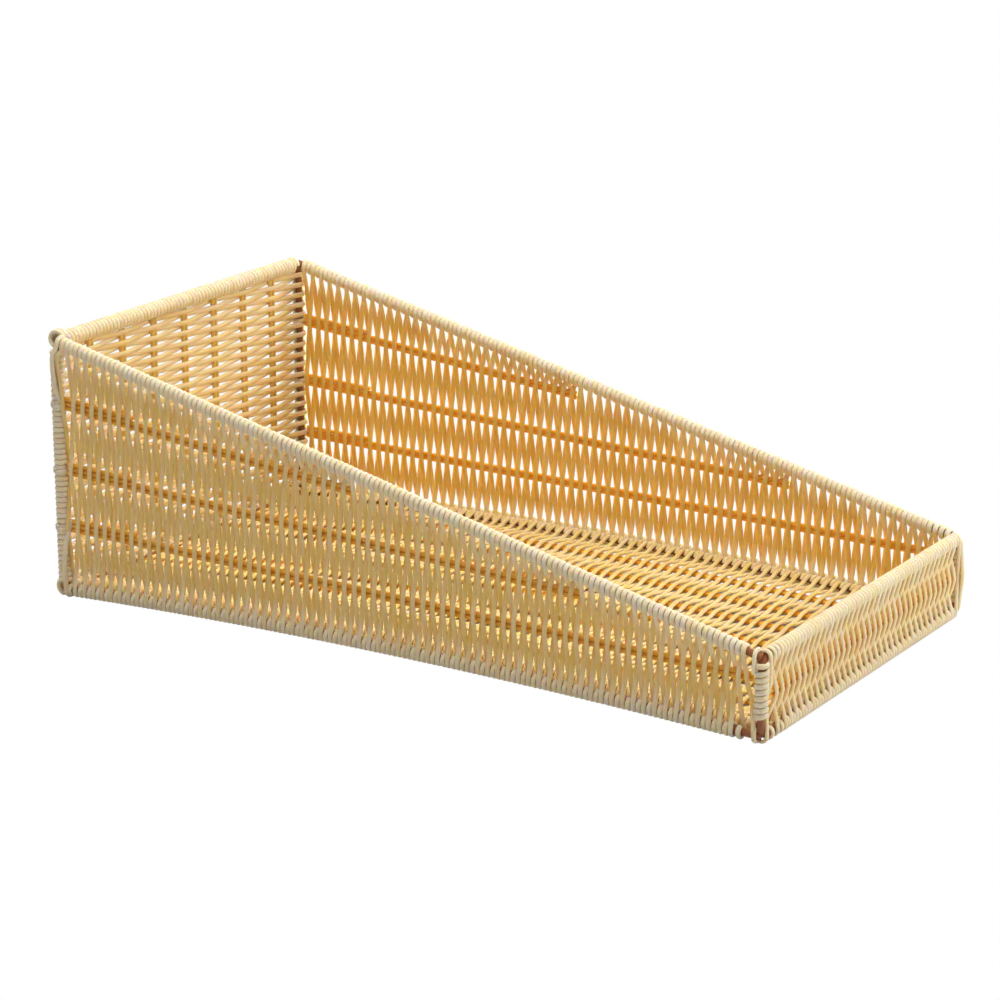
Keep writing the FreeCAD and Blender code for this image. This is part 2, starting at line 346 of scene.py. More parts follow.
@dataclass(frozen=True)
class StakeFinish:
    """Thicker polyethylene cane, extruded round, of a deeper straw colour than the strands.

    Its orange is deepened further as a painted glow of light passing through the thick cane.
    """

    name: str = "extruded_polyethylene_stake"
    pale: str = "#f6bc48"
    deep: str = "#eaa834"
    roughness: float = 0.45
    refraction: float = 1.51
    depth: float = 3.2 * MM
    spread: Triple = (0.7, 1.0, 0.15)
    blotch: float = 12.0 * MM
    blotch_detail: float = 3.0
    grain: float = 0.6 * MM
    grain_detail: float = 2.0
    grain_strength: float = 0.4
    grain_height: float = 0.03 * MM

    def material(self) -> Material:
        """Makes the material, on the solids' own coordinates.

        Returns:
            The finished material.
        """
        material, tree = new_material(self.name)
        place = add_node(tree, "ShaderNodeTexCoord", {}, {}).outputs["Object"]
        blotch = noise(tree, place, self.blotch_detail, 1 / self.blotch)
        grain = noise(tree, place, self.grain_detail, 1 / self.grain)
        surface(
            tree,
            {
                "Roughness": self.roughness,
                "IOR": self.refraction,
                "Subsurface Weight": 1.0,
                "Subsurface Radius": self.spread,
                "Subsurface Scale": self.depth,
            },
            {
                "Base Color": blend(tree, blotch, self.deep, self.pale),
                "Normal": bumped(tree, grain, self.grain_strength, self.grain_height),
            },
        )
        return material


# The back panel's stakes get a paler copy, painted as lit from the front rather than glowing
BACK_STAKE_FINISH = StakeFinish("extruded_polyethylene_pale_stake", "#f2d080", "#e8bc60")


@dataclass(frozen=True)
class RodFinish:
    """Drawn steel rod under brown enamel: an even half gloss with a fine orange peel."""

    name: str = "brown_enamel_on_steel_rod"
    brown: str = "#884d27"
    worn: str = "#a06230"
    roughness: Pair = (0.34, 0.5)
    refraction: float = 1.5
    cloud: float = 9.0 * MM
    cloud_detail: float = 4.0
    peel: float = 1.1 * MM
    peel_detail: float = 1.0
    peel_strength: float = 0.5
    peel_height: float = 0.05 * MM

    def material(self) -> Material:
        """Makes the material, on the solids' own coordinates.

        Returns:
            The finished material.
        """
        material, tree = new_material(self.name)
        place = add_node(tree, "ShaderNodeTexCoord", {}, {}).outputs["Object"]
        cloud = noise(tree, place, self.cloud_detail, 1 / self.cloud)
        peel = noise(tree, place, self.peel_detail, 1 / self.peel)
        surface(
            tree,
            {"IOR": self.refraction},
            {
                "Base Color": blend(tree, cloud, self.brown, self.worn),
                "Roughness": ranged(tree, cloud, self.roughness),
                "Normal": bumped(tree, peel, self.peel_strength, self.peel_height),
            },
        )
        return material


@dataclass(frozen=True)
class FloorFinish:
    """Seamless white studio paper.

    It is white where it is seen and a pale grey to all other light, and it keeps the shadow under
    the basket.
    """

    half_size: Pair
    name: str = "white_studio_paper"
    paper: str = "#dadada"
    shadow_edge: Pair = (-34.0 * MM, -22.0 * MM)

    def material(self) -> Material:
        """Makes the paper, which is plain diffuse under the basket.

        Returns:
            The finished material.
        """
        material, tree = new_material(self.name)
        place = add_node(tree, "ShaderNodeTexCoord", {}, {}).outputs["Object"]
        split = add_node(tree, "ShaderNodeSeparateXYZ", {}, {"Vector": place})
        beyond = []
        for axis, half in zip("XY", self.half_size):
            away = calculate(tree, "ABSOLUTE", split.outputs[axis])
            beyond.append(calculate(tree, "SUBTRACT", away, half))
        bright = add_node(
            tree, "ShaderNodeMapRange",
            {"From Min": self.shadow_edge[0], "From Max": self.shadow_edge[1]},
            {"Value": calculate(tree, "MAXIMUM", *beyond)},
        )
        share = calculate(tree, "MULTIPLY", seen(tree), bright.outputs["Result"])
        paper = add_node(tree, "ShaderNodeBsdfDiffuse", {"Color": linear(self.paper)}, {})
        white = add_node(tree, "ShaderNodeEmission", {"Color": linear(WHITE), "Strength": 1.0}, {})
        mix = add_node(
            tree, "ShaderNodeMixShader", {},
            {0: share, 1: paper.outputs["BSDF"], 2: white.outputs["Emission"]},
        )
        add_node(tree, "ShaderNodeOutputMaterial", {}, {"Surface": mix.outputs["Shader"]})
        return material


@dataclass(frozen=True)
class Stake:
    """A wall stake, as a straight line of heights over a stretch of Y."""

    front_y: float
    back_y: float
    front_z: float
    back_z: float

    def height(self, y: float) -> float:
        """Height of the stake's axis at y."""
        share = (y - self.front_y) / (self.back_y - self.front_y)
        return self.front_z + (self.back_z - self.front_z) * share


@dataclass(frozen=True)
class BasketFrame:
    """Places of the rods and stakes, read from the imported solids."""

    rod_radius: float
    base_rod_radius: float
    stake_radius: float
    stake_half: float
    half_width: float
    front_y: float
    back_y: float
    front_rail: float
    back_rail: float
    front_rim: float
    back_rim: float
    rail_rise: float
    base_side_x: float
    base_lift: float
    front_stake_z: float
    wall_stakes: tuple[Stake, ...]
    back_stake_x: tuple[float, ...]
    base_stake_x: tuple[float, ...]

    @classmethod
    def read(cls) -> "BasketFrame":
        """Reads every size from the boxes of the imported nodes.

        Returns:
            The basket's sizes, in metres.
        """
        front_low, front_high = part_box("front_loop")
        back_low, back_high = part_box("back_loop")
        rail_low, rail_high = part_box("left_bottom_rail")
        side_low, side_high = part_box("base_left_rod")
        cross_low, cross_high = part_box("base_front_rod")
        stake_low, stake_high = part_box("front_panel_stake")
        radius = (front_high.y - front_low.y) / 2
        stake_half = (stake_high.z - stake_low.z) / 2
        front_rail = front_low.z + radius
        back_rail = back_low.z + radius
        stakes = []
        for level in ("lower", "middle", "upper"):
            low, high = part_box(f"left_wall_{level}_stake")
            stakes.append(Stake(low.y, high.y, low.z + stake_half, high.z - stake_half))
        return cls(
            rod_radius=radius,
            base_rod_radius=(side_high.x - side_low.x) / 2,
            stake_radius=(stake_high.y - stake_low.y) / 2,
            stake_half=stake_half,
            half_width=front_high.x - radius,
            front_y=(front_low.y + front_high.y) / 2,
            back_y=(back_low.y + back_high.y) / 2,
            front_rail=front_rail,
            back_rail=back_rail,
            front_rim=front_high.z - radius,
            back_rim=back_high.z - radius,
            rail_rise=rail_high.z - radius - (front_rail + back_rail) / 2,
            base_side_x=-(side_low.x + side_high.x) / 2,
            base_lift=(cross_low.z + cross_high.z) / 2 - front_rail,
            front_stake_z=(stake_low.z + stake_high.z) / 2,
            wall_stakes=tuple(stakes),
            back_stake_x=cls.middles("back_panel_stake", BACK_STAKES),
            base_stake_x=cls.middles("base_stake", BASE_STAKES),
        )

    @staticmethod
    def middles(stem: str, count: int) -> tuple[float, ...]:
        """X of the middles of numbered nodes."""
        boxes = [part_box(f"{stem}_{i}") for i in range(1, count + 1)]
        return tuple((low.x + high.x) / 2 for low, high in boxes)

    def share(self, y: float) -> float:
        """Share of the way from the front loop to the back loop."""
        return (y - self.front_y) / (self.back_y - self.front_y)

    def rim(self, y: float) -> float:
        """Height of the side rims' axis at y."""
        return self.front_rim + (self.back_rim - self.front_rim) * self.share(y)

    def rail(self, y: float) -> float:
        """Height of the bottom side rails' axis at y, a shallow arch.

        Args:
            y: The place along the basket, on Y.

        Returns:
            The height.
        """
        t = self.share(y)
        straight = self.front_rail + (self.back_rail - self.front_rail) * t
        return straight + 4 * self.rail_rise * t * (1 - t)

    def rim_slope(self) -> float:
        """Rise of the side rims for each metre of Y."""
        return (self.back_rim - self.front_rim) / (self.back_y - self.front_y)

    def rail_slope(self, y: float) -> float:
        """Rise of the bottom side rails at y, for each metre of Y.

        Args:
            y: The place along the basket, on Y.

        Returns:
            The rise.
        """
        length = self.back_y - self.front_y
        arch = 4 * self.rail_rise * (1 - 2 * self.share(y)) / length
        return (self.back_rail - self.front_rail) / length + arch


@dataclass(frozen=True)
class Knot:
    """A point of a cane's route, with the handles that bend the curve on either side."""

    point: Vector
    before: Vector
    after: Vector


@dataclass(frozen=True)
class Turn:
    """A rod or stake that a strand passes, in the strand's own plane.

    Along places its axis, reach is from there to the middle of the strand, side is 1 where the
    strand passes on the outside and -1 on the inside, aside is how far it leans out of its plane
    there, and wrap is how far round the rod it goes where it ends there.
    """

    along: float
    reach: float
    side: int
    aside: float = 0.0
    wrap: float = WRAP_TURN


@dataclass(frozen=True)
class StrandPlane:
    """The plane that a strand is bent in, and the direction across it."""

    origin: Vector
    outward: Vector
    lengthwise: Vector
    sideways: Vector

    def at(self, out: float, along: float, aside: float = 0.0) -> Vector:
        """The point at these distances from the plane's origin."""
        return self.origin + self.outward * out + self.lengthwise * along + self.sideways * aside

    def heading(self, out: float, along: float) -> Vector:
        """The direction with these shares."""
        return self.outward * out + self.lengthwise * along


@dataclass(frozen=True)
class Cane:
    """An extruded cane, by the size of its section.

    The section is an oval at a fullness of 1, and nears a rounded rectangle above that.
    """

    width: float
    thickness: float
    lie: Lie = Lie.FLAT
    fullness: float = 1.06

    def section(self) -> bpy.types.Object:
        """Draws the section as a closed curve.

        Returns:
            The curve object, to be deleted once the canes are drawn.
        """
        bpy.ops.object.select_all(action="DESELECT")
        bpy.ops.curve.primitive_bezier_circle_add(radius=0.5)
        section = bpy.context.object
        section.data.resolution_u = SIDES_PER_QUARTER
        for corner in section.data.splines[0].bezier_points:
            corner.handle_left_type = corner.handle_right_type = "ALIGNED"
            corner.handle_left = corner.co + (corner.handle_left - corner.co) * self.fullness
            corner.handle_right = corner.co + (corner.handle_right - corner.co) * self.fullness
        flat = self.lie is Lie.FLAT
        size = (self.width, self.thickness) if flat else (self.thickness, self.width)
        section.scale = (*size, 1)
        bpy.ops.object.transform_apply(location=False, rotation=False, scale=True)
        return section


def wall_plane(frame: BasketFrame, side: Side, y: float) -> StrandPlane:
    """The plane of a side wall's strand at y."""
    origin = Vector((side.value * frame.half_width, y, 0.0))
    return StrandPlane(origin, X_AXIS * side.value, Z_AXIS, Y_AXIS)


def arc_handle(angle: float) -> float:
    """Length of the handles that bend a curve round an arc, for a radius of 1."""
    return 4 / 3 * math.tan(angle / 4)


def run_handle(run: float) -> float:
    """Length of the handle with which a strand leaves a turn, for a run to the next one."""
    return run * (LONG_RUN_PULL if run > LONG_RUN else RUN_PULL)


def wrap_knots(plane: StrandPlane, turn: Turn, way: int, run: float) -> Route:
    """Knots of a strand's end, wrapped round its rod.

    Args:
        plane: The strand's plane.
        turn: The rod.
        way: -1 where the strand starts here, and 1 where it ends here.
        run: Distance to the next turn along the strand.

    Returns:
        The knots, in the order of the strand.
    """
    step = turn.wrap / WRAP_STEPS
    pull = arc_handle(step) * turn.reach
    first_angle = 0.0 if turn.side > 0 else math.pi
    knots = []
    for i in range(WRAP_STEPS + 1):
        angle = first_angle + way * turn.side * step * i
        out, along = turn.reach * math.cos(angle), turn.along + turn.reach * math.sin(angle)
        point = plane.at(out, along, turn.aside)
        heading = plane.heading(-turn.side * math.sin(angle), turn.side * math.cos(angle))
        before = after = pull
        if i == 0 and way < 0:
            after = run_handle(run)
        elif i == 0:
            before = run_handle(run)
        knots.append(Knot(point, point - heading * before, point + heading * after))
    return knots if way > 0 else knots[::-1]


def strand_route(plane: StrandPlane, turns: list[Turn], stray: float, dice: Dice) -> Route:
    """Route of one strand: a wrap, a wave in and out of the stakes, and a wrap.

    In the middle of a long run the strand lies between its neighbours, in the plane of the stakes.

    Args:
        plane: The strand's plane.
        turns: The rods and stakes, in the order that the strand passes them.
        stray: How far the strand may stray sideways at a stake.
        dice: Source of the straying.

    Returns:
        The strand's knots.
    """
    runs = [b.along - a.along for a, b in zip(turns, turns[1:])]
    knots = wrap_knots(plane, turns[0], -1, runs[0])
    for i, run in enumerate(runs):
        turn, following = turns[i], turns[i + 1]
        if i:
            aside = turn.aside + dice.uniform(-stray, stray)
            point = plane.at(turn.side * turn.reach, turn.along, aside)
            before = plane.lengthwise * run_handle(runs[i - 1])
            after = plane.lengthwise * run_handle(run)
            knots.append(Knot(point, point - before, point + after))
        if run > LONG_RUN:
            point = plane.at(0.0, turn.along + run / 2, (turn.aside + following.aside) / 2)
            pull = plane.lengthwise * (run * MIDDLE_PULL)
            knots.append(Knot(point, point - pull, point + pull))
    return knots + wrap_knots(plane, turns[-1], 1, runs[-1])


def eased(points: list[Vector]) -> Route:
    """Knots of a smooth route through points.

    Args:
        points: The points, in order.

    Returns:
        One knot for each point.
    """
    knots = []
    last = len(points) - 1
    for i, point in enumerate(points):
        before, after = points[max(i - 1, 0)], points[min(i + 1, last)]
        heading = (after - before).normalized()
        back = heading * ((point - before).length / HANDLE_PARTS)
        ahead = heading * ((after - point).length / HANDLE_PARTS)
        knots.append(Knot(point, point - back, point + ahead))
    return knots


def draw_cane(
    name: str, routes: list[Route], cane: Cane, twist: Twist, rings: int
) -> bpy.types.Object:
    """Draws canes along their routes and makes them one mesh with closed ends.

    Args:
        name: The piece's name.
        routes: One list of knots for each cane.
        cane: The section that they share.
        twist: How the section is carried along.
        rings: Rings of points for each knot.

    Returns:
        The mesh object, at the origin. Its points lie route by route, ring by ring.
    """
    section = cane.section()
    bpy.ops.object.select_all(action="DESELECT")
    bpy.ops.curve.primitive_bezier_curve_add()
    piece = bpy.context.object
    piece.name = name
    curve = piece.data
    curve.splines.clear()
    curve.twist_mode = twist.value
    curve.bevel_mode = "OBJECT"
    curve.bevel_object = section
    for route in routes:
        spline = curve.splines.new("BEZIER")
        spline.resolution_u = rings
        spline.bezier_points.add(len(route) - 1)
        for place, knot in zip(spline.bezier_points, route):
            place.handle_left_type = place.handle_right_type = "FREE"
            place.co = knot.point
            place.handle_left = knot.before
            place.handle_right = knot.after
    bpy.ops.object.convert(target="MESH")
    bpy.data.objects.remove(section)
    bpy.ops.object.mode_set(mode="EDIT")
    bpy.ops.mesh.select_all(action="SELECT")
    bpy.ops.mesh.fill_holes(sides=0)
    bpy.ops.mesh.normals_make_consistent(inside=False)
    bpy.ops.object.mode_set(mode="OBJECT")
    bpy.ops.object.shade_smooth_by_angle(angle=SMOOTH_ANGLE)
    return piece


@dataclass
class CaneWork(ABC):
    """A piece made of canes: woven strands or a winding.

    The names may hold a place for the word of the side, and the right side has the next seed.
    """

    frame: BasketFrame
    material: Material
    side: Side = Side.LEFT
    name: str = ""
    replaced: tuple[str, ...] = ()
    record_slot: str = "woven_strand"
    cane: Cane = Cane(3.25 * MM, 2.1 * MM)
    twist: Twist = Twist.LEAST
    rings: int = 4
    sideways: Vector = field(default_factory=Y_AXIS.copy)
    outward: Vector = field(default_factory=Vector)
    seed: int = 1
    tint_middle: float = 0.14
    # Tint of the wraps on the rods, a painted sheen of the top light where it is paler than the
    # middle
    tint_ends: float = 0.14
    # Stretches outside the stakes are painted paler, as lit, and inside ones a deeper gold, as
    # painted shade
    tint_outside: float = 0.22
    tint_spread: float = 0.12

    def __post_init__(self) -> None:
        """Names the piece and its nodes for the side, and sets the seed."""
        word = self.side.name.lower()
        self.name = self.name.format(side=word)
        self.replaced = tuple(node.format(side=word) for node in self.replaced)
        if self.side is Side.RIGHT:
            self.seed += 1

    @abstractmethod
    def routes(self, dice: Dice) -> list[Route]:
        """Routes of the canes.

        Args:
            dice: Source of small irregularities.

        Returns:
            One list of knots for each cane.
        """

    def wrap_reach(self, radius: float) -> float:
        """From the axis of a rod or stake to the middle of a cane on it."""
        return radius + SEAT + self.cane.thickness / 2

    def settle(self, index: int, points: np.ndarray) -> np.ndarray:
        """Lays one cane's points where it rests: flat on the floor, where it reaches it.

        Args:
            index: The cane's number; not used here.
            points: Its points, one row each.

        Returns:
            The settled points.
        """
        points[:, 2] = np.maximum(points[:, 2], 0.0)
        return points

    def build(self) -> bpy.types.Object:
        """Models the piece, marks each cane on it and dresses it.

        Returns:
            The finished piece.
        """
        dice = Dice(self.seed)
        routes = self.routes(dice)
        piece = draw_cane(self.name, routes, self.cane, self.twist, self.rings)
        self.mark(piece.data, routes, dice)
        piece.data.materials.clear()
        piece.data.materials.append(self.material)
        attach(piece, BODY)
        if self.replaced:
            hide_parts(*self.replaced)
        LOG.info("%s: %d canes, %d faces", self.name, len(routes), len(piece.data.polygons))
        return piece

    def mark(self, mesh: bpy.types.Mesh, routes: list[Route], dice: Dice) -> None:
        """Settles the points, and gives each its place on its cane and the cane's tint.

        Args:
            mesh: The piece's mesh.
            routes: The routes that it was drawn along.
            dice: Source of the tints.
        """
        count = len(mesh.vertices)
        flat = np.empty(count * 3, np.float32)
        mesh.vertices.foreach_get("co", flat)
        points = flat.reshape(-1, 3).astype(float)
        places = np.zeros((count, 3), np.float32)
        tints = np.zeros(count, np.float32)
        sides = QUARTERS * SIDES_PER_QUARTER
        sideways, outward = np.array(self.sideways), np.array(self.outward)
        start = 0
        for index, route in enumerate(routes):
            rings = (len(route) - 1) * self.rings + 1
            stop = start + rings * sides
            block = points[start:stop].reshape(rings, sides, 3)
            middle = block.mean(axis=1)
            steps = np.linalg.norm(np.diff(middle, axis=0), axis=1)
            along = np.concatenate([[0.0], np.cumsum(steps)]) + dice.uniform(0.0, PATTERN_START)
            offset = block - middle[:, None]
            across = offset @ sideways
            depth = np.sqrt(np.maximum((offset ** 2).sum(axis=2) - across ** 2, 0.0))
            along_all = np.repeat(along[:, None], sides, axis=1)
            places[start:stop] = np.stack([across, depth, along_all], axis=2).reshape(-1, 3)
            from_end = np.minimum(np.arange(rings), np.arange(rings)[::-1]) / self.rings
            wrapped = np.clip(WRAP_STEPS + 1 - from_end, 0.0, 1.0)
            # The wraps take the ends' tint, a painted sheen where it is paler than the middle
            tint = self.tint_middle + (self.tint_ends - self.tint_middle) * wrapped
            tint += dice.uniform(-self.tint_spread, self.tint_spread)
            # Painted light and shade: paler where a strand passes outside, a deeper gold where it
            # passes inside, not on the wraps
            out = np.clip((block - middle.mean(axis=0)) @ outward / PAINTED_SHADE_REACH, -1.0, 1.0)
            painted_light_tints = tint[:, None] + self.tint_outside * out * (1.0 - wrapped)[:, None]
            tints[start:stop] = painted_light_tints.ravel()
            points[start:stop] = self.settle(index, points[start:stop])
            start = stop
        assert start == count, (self.name, start, count)
        mesh.vertices.foreach_set("co", points.astype(np.float32).ravel())
        place_layer = mesh.attributes.new(PLACE, "FLOAT_VECTOR", "POINT")
        place_layer.data.foreach_set("vector", places.ravel())
        tint_layer = mesh.attributes.new(TINT, "FLOAT", "POINT")
        tint_layer.data.foreach_set("value", tints)
        mesh.update()


@dataclass
class WovenPanel(CaneWork):
    """A panel of strands that are woven on stakes and wrapped round two rods."""

    stray: float = 0.14 * MM
    # The wraps on the rods are painted paler, as a sheen of the top light
    tint_ends: float = 0.8

    def strayed(self, place: float, dice: Dice) -> float:
        """A strand's place, moved by up to half the straying."""
        return place + dice.uniform(-self.stray, self.stray) / 2

    def level_stops(self, half: float, radius: float, stakes: tuple[float, ...]) -> list[Pair]:
        """Stops of a level strand on stakes at these X, between two rods at half to either side."""
        return [(-half, radius), *((x, self.frame.stake_radius) for x in stakes), (half, radius)]

    def turns(self, stops: list[Pair], index: int) -> list[Turn]:
        """The turns of one strand, on alternate sides.

        Args:
            stops: For each rod or stake, its place along the strand and its radius.
            index: The strand's number, which sets the side that it starts on.

        Returns:
            The turns, in order.
        """
        return [
            Turn(along, self.wrap_reach(radius), 1 if (index + level) % 2 else -1)
            for level, (along, radius) in enumerate(stops)
        ]

    @staticmethod
    def spaced(low: float, high: float) -> list[float]:
        """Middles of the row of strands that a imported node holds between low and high.

        Args:
            low: Lower end of the row.
            high: Upper end of the row.

        Returns:
            The middles, from low to high.
        """
        first, last = low + PACKED_WIDTH / 2, high - PACKED_WIDTH / 2
        steps = int((last - first) / PACKED_PITCH)
        return [first + (last - first) * i / steps for i in range(steps + 1)]


@dataclass
class SideWall(WovenPanel):
    """A side wall: upright strands on three stakes, between the bottom rail and the sloping rim.

    On the left wall the frontmost strand is a spare end, hooked over the rim, the next two lean
    to the front corner at their feet, the last ones lean to the back post, and the very last bows
    to it below the rim. On the right wall the frontmost strands are pushed to the corner at the
    rim, and the cane is a little stouter.
    """

    name: str = "{side}_wall_weave"
    replaced: tuple[str, ...] = ("{side}_wall_strands",)
    seed: int = 11
    stout_cane: Cane = Cane(3.5 * MM, 2.3 * MM)
    hook_drop: float = 9.4 * MM
    hook_lean: float = -3.7 * MM
    hook_out: float = 0.25
    leaning: tuple[tuple[float, ...], ...] = (
        (-7.7 * MM, -2.4 * MM, 0.0), (-1.4 * MM, -0.5 * MM, 0.0),
    )
    back_leans: tuple[float, ...] = (1.7 * MM, 0.9 * MM, 0.4 * MM)
    bow: Triple = (1.8 * MM, -8.0 * MM, 2.9 * MM)
    closings: tuple[float, ...] = (-1.6 * MM, -1.0 * MM, -0.5 * MM)

    def __post_init__(self) -> None:
        """Sets what differs from side to side, and finds where the strands stand."""
        super().__post_init__()
        self.outward = X_AXIS * self.side.value
        if self.side is Side.RIGHT:
            self.cane = self.stout_cane
        low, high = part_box(self.replaced[0])
        self.places = self.spaced(low.y, high.y)

    def routes(self, dice: Dice) -> list[Route]:
        """Routes of the wall's strands, from front to back.

        Args:
            dice: Source of small irregularities.

        Returns:
            One list of knots for each cane.
        """
        frame = self.frame
        left = self.side is Side.LEFT
        found = []
        for index, y in enumerate(self.places):
            crossed = [stake for stake in frame.wall_stakes if y > stake.front_y]
            stops = [(frame.rail(y), frame.rod_radius)]
            stops += [(stake.height(y), frame.stake_radius) for stake in crossed]
            stops += [(frame.rim(y), frame.rod_radius)]
            plane = wall_plane(frame, self.side, self.strayed(y, dice))
            turns = self.turns(stops, index)
            if left and index == 0:
                found.append(self.hooked(plane, turns[-1]))
                continue
            if left and index <= len(self.leaning):
                leans = self.leaning[index - 1]
                turns = [replace(turn, aside=lean) for turn, lean in zip(turns, leans)]
            if left and index == 1:
                turns = [replace(turn, side=1) for turn in turns]
            if not left and index < len(self.closings):
                turns[-1] = replace(turns[-1], aside=self.closings[index])
            from_back = len(self.places) - 1 - index
            if left and from_back < len(self.back_leans):
                lean = self.back_leans[from_back]
                turns[:-1] = [replace(turn, aside=lean) for turn in turns[:-1]]
            bowed = left and from_back == 0
            if bowed:
                turns[-1] = replace(turns[-1], side=1)
            route = strand_route(plane, turns, self.stray, dice)
            if bowed:
                route[-WRAP_STEPS - 2] = self.bowed(plane, turns[-1])
            found.append(route)
        return found

    def bowed(self, plane: StrandPlane, rim: Turn) -> Knot:
        """The knot that bows the last strand to the corner, in the middle of its run to the rim.

        Args:
            plane: The strand's plane.
            rim: The turn on the rim.

        Returns:
            The knot.
        """
        out, along, aside = self.bow
        point = plane.at(rim.reach + out, rim.along + along, aside)
        pull = plane.lengthwise * (along / 2)
        return Knot(point, point + pull, point - pull)

    def hooked(self, plane: StrandPlane, rim: Turn) -> Route:
        """Route of the spare end that hangs down outside from its wrap on the rim.

        Args:
            plane: The strand's plane.
            rim: The turn on the rim.

        Returns:
            The knots, from the cut end up and over the rim.
        """
        turn = replace(rim, side=1, aside=self.hook_lean)
        out = turn.reach + self.cane.thickness * self.hook_out
        tip = plane.at(out, turn.along - self.hook_drop, turn.aside)
        bend = plane.lengthwise * (self.hook_drop * RUN_PULL)
        return [Knot(tip, tip - bend, tip + bend)] + wrap_knots(plane, turn, 1, self.hook_drop)

    def settle(self, index: int, points: np.ndarray) -> np.ndarray:
        """Leans a strand's width to the slopes of the rail and the rim, and settles it.

        Args:
            index: The strand's number.
            points: Its points, one row each.

        Returns:
            The settled points.
        """
        frame, y = self.frame, self.places[index]
        low, high = frame.rail(y), frame.rim(y)
        share = np.clip((points[:, 2] - low) / (high - low), 0.0, 1.0)
        slope = frame.rail_slope(y) + (frame.rim_slope() - frame.rail_slope(y)) * share
        points[:, 2] += (points[:, 1] - y) * slope
        return super().settle(index, points)


@dataclass
class FrontPanel(WovenPanel):
    """The low front: upright strands on one stake.

    At the left the first strand starts in the corner of the rim and is tucked in under the stake,
    and the feet of the next ones lean to the corner. At the right one more strand is squeezed in
    that bows outside the stake, and the last one covers the post: cover is how far it is beyond
    the others, its reach at the stake, and how far the bends of the loop bring its two wraps
    towards each other.
    """

    name: str = "front_panel_weave"
    replaced: tuple[str, ...] = ("front_panel_strands",)
    sideways: Vector = field(default_factory=X_AXIS.copy)
    outward: Vector = field(default_factory=lambda: -Y_AXIS)
    seed: int = 21
    left_feet: tuple[float, ...] = (0.0, -9.0 * MM, -5.4 * MM, -2.7 * MM, -1.0 * MM)
    left_heads: tuple[float, ...] = (-3.2 * MM, -1.4 * MM, -0.6 * MM, 0.0, 0.0)
    squeezed: Pair = (-1.4 * MM, 0.9 * MM)
    cover: Triple = (2.9 * MM, 5.2 * MM, 3.0 * MM)
    tuck: Pair = (-1.2 * MM, -4.0 * MM)
    tuck_rise: float = 1 / 3
    tuck_lean: float = 1 / 4
    tint_middle: float = 0.3
    # Its wraps are painted paler too, as a sheen of the top light
    tint_ends: float = 0.75

    def plane(self, x: float) -> StrandPlane:
        """The plane of a front strand at x."""
        return StrandPlane(Vector((x, self.frame.front_y, 0.0)), -Y_AXIS, Z_AXIS, X_AXIS)

    def routes(self, dice: Dice) -> list[Route]:
        """Routes of the front strands, from left to right.

        Args:
            dice: Source of small irregularities.

        Returns:
            One list of knots for each cane.
        """
        frame = self.frame
        low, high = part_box("front_panel_strands")
        stops = [
            (frame.front_rail, frame.rod_radius),
            (frame.front_stake_z, frame.stake_radius),
            (frame.front_rim, frame.rod_radius),
        ]
        found = []
        places = self.spaced(low.x, high.x)
        places.append(places[-1] + PACKED_PITCH)
        for index, x in enumerate(places):
            plane = self.plane(self.strayed(x, dice))
            foot, stake, rim = self.turns(stops, index)
            if index == 0:
                found.append(self.tucked(plane, stake, rim))
                continue
            if index < len(self.left_feet):
                foot = replace(foot, aside=self.left_feet[index])
                rim = replace(rim, aside=self.left_heads[index])
            if index == len(places) - 1:
                foot = replace(foot, aside=self.squeezed[0])
                stake = replace(stake, side=1, aside=self.squeezed[1])
            found.append(strand_route(plane, [foot, stake, rim], self.stray, dice))
        beyond, reach, ease = self.cover
        foot, stake, rim = (replace(turn, side=1) for turn in self.turns(stops, 0))
        turns = [
            replace(foot, along=foot.along + ease),
            replace(stake, reach=reach),
            replace(rim, along=rim.along - ease),
        ]
        found.append(strand_route(self.plane(places[-1] + beyond), turns, self.stray, dice))
        return found

    def tucked(self, plane: StrandPlane, stake: Turn, rim: Turn) -> Route:
        """Route of the strand that starts in the rim's corner and ends behind the stake.

        Args:
            plane: The strand's plane.
            stake: The turn on the stake.
            rim: The turn on the rim.

        Returns:
            The knots, from the tucked end up and over the rim.
        """
        start = replace(rim, side=1, aside=self.left_heads[0])
        run = rim.along - stake.along
        rise = run * self.tuck_rise
        inside = plane.at(self.tuck[0], stake.along + self.tuck[1])
        outside = plane.at(stake.reach, stake.along + rise, start.aside * self.tuck_lean)
        bend = plane.lengthwise * (rise * RUN_PULL)
        ends = [Knot(point, point - bend, point + bend) for point in (inside, outside)]
        return ends + wrap_knots(plane, start, 1, run / 2)


@dataclass
class BackPanel(WovenPanel):
    """The high back: level strands on upright stakes, between the back posts.

    A strand that comes to the right post on the outside ends short, and leaves the post bare
    inside.
    """

    name: str = "back_panel_weave"
    replaced: tuple[str, ...] = ("back_panel_strands",)
    cane: Cane = Cane(3.5 * MM, 2.3 * MM, Lie.UPRIGHT)
    sideways: Vector = field(default_factory=Z_AXIS.copy)
    outward: Vector = field(default_factory=Y_AXIS.copy)
    seed: int = 31
    tint_middle: float = 0.5
    # Weaker painted light outside and painted shade inside on the back panel
    tint_outside: float = 0.15
    short_wrap: float = math.radians(110)

    def routes(self, dice: Dice) -> list[Route]:
        """Routes of the back strands, from the bottom up.

        Args:
            dice: Source of small irregularities.

        Returns:
            One list of knots for each cane.
        """
        frame = self.frame
        low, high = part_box("back_panel_strands")
        stops = self.level_stops(frame.half_width, frame.rod_radius, frame.back_stake_x)
        found = []
        for index, z in enumerate(self.spaced(low.z, high.z)):
            origin = Vector((0.0, frame.back_y, self.strayed(z, dice)))
            plane = StrandPlane(origin, Y_AXIS, X_AXIS, Z_AXIS)
            turns = self.turns(stops, index)
            if turns[-1].side > 0:
                turns[-1] = replace(turns[-1], wrap=self.short_wrap)
            found.append(strand_route(plane, turns, self.stray, dice))
        return found


